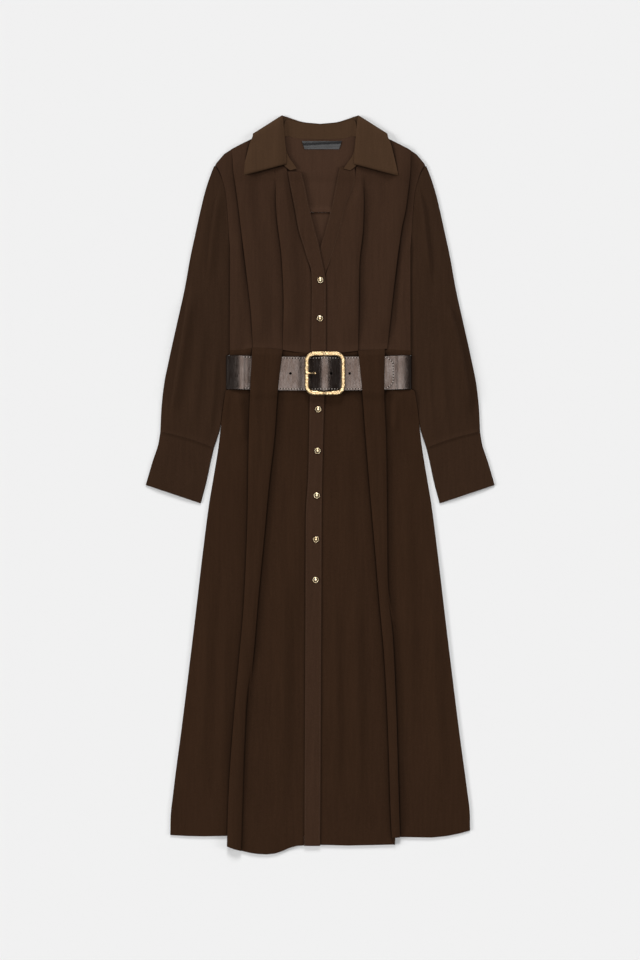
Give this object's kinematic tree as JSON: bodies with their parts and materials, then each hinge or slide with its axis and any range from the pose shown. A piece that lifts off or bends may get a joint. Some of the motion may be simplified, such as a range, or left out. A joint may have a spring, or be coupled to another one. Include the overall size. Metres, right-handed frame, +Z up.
{
  "type": "shirt dress",
  "caption": "Long-sleeved belted shirt dress laid flat: pointed collar, open V neck, pressed pleats, wide leather belt with a centre-bar buckle, metal snaps.",
  "frame": {"origin": "on the surface it lies on, under the middle of its outline", "axes": "+X to the viewer's right across the dress, +Y from the hem to the collar, +Z up out of the surface, front side up"},
  "size_m": [0.629, 1.3301, 0.0216],
  "materials": {
    "crepe": "matt dark brown crepe",
    "collar_crepe": "matt dark brown crepe, a little lighter where it is turned to the light",
    "satin": "dark satin label, bare",
    "leather": "dark brown leather, fine vertical grain, low sheen",
    "brass": "pale gold, lightly hammered",
    "snap_brass": "pale gold, polished dome"
  },
  "bodies": {
    "root": {"back_yoke": "crepe", "back_bodice": "crepe", "back_skirt": "crepe", "front_bodice_left": "crepe", "front_bodice_right": "crepe", "front_skirt_left": "crepe", "front_skirt_right": "crepe", "front_band_top": "crepe", "front_band_under": "crepe", "sleeve_left": "crepe", "sleeve_right": "crepe", "cuff_left": "crepe", "cuff_right": "crepe", "collar_fall": "collar_crepe", "collar_stand": "collar_crepe", "neck_label": "satin", "belt_strap": "leather", "belt_buckle": "brass", "belt_prong": "brass", "button_1": "snap_brass", "button_2": "snap_brass", "button_3": "snap_brass", "button_4": "snap_brass", "button_5": "snap_brass", "button_6": "snap_brass", "button_7": "snap_brass"}
  },
  "joints": []
}
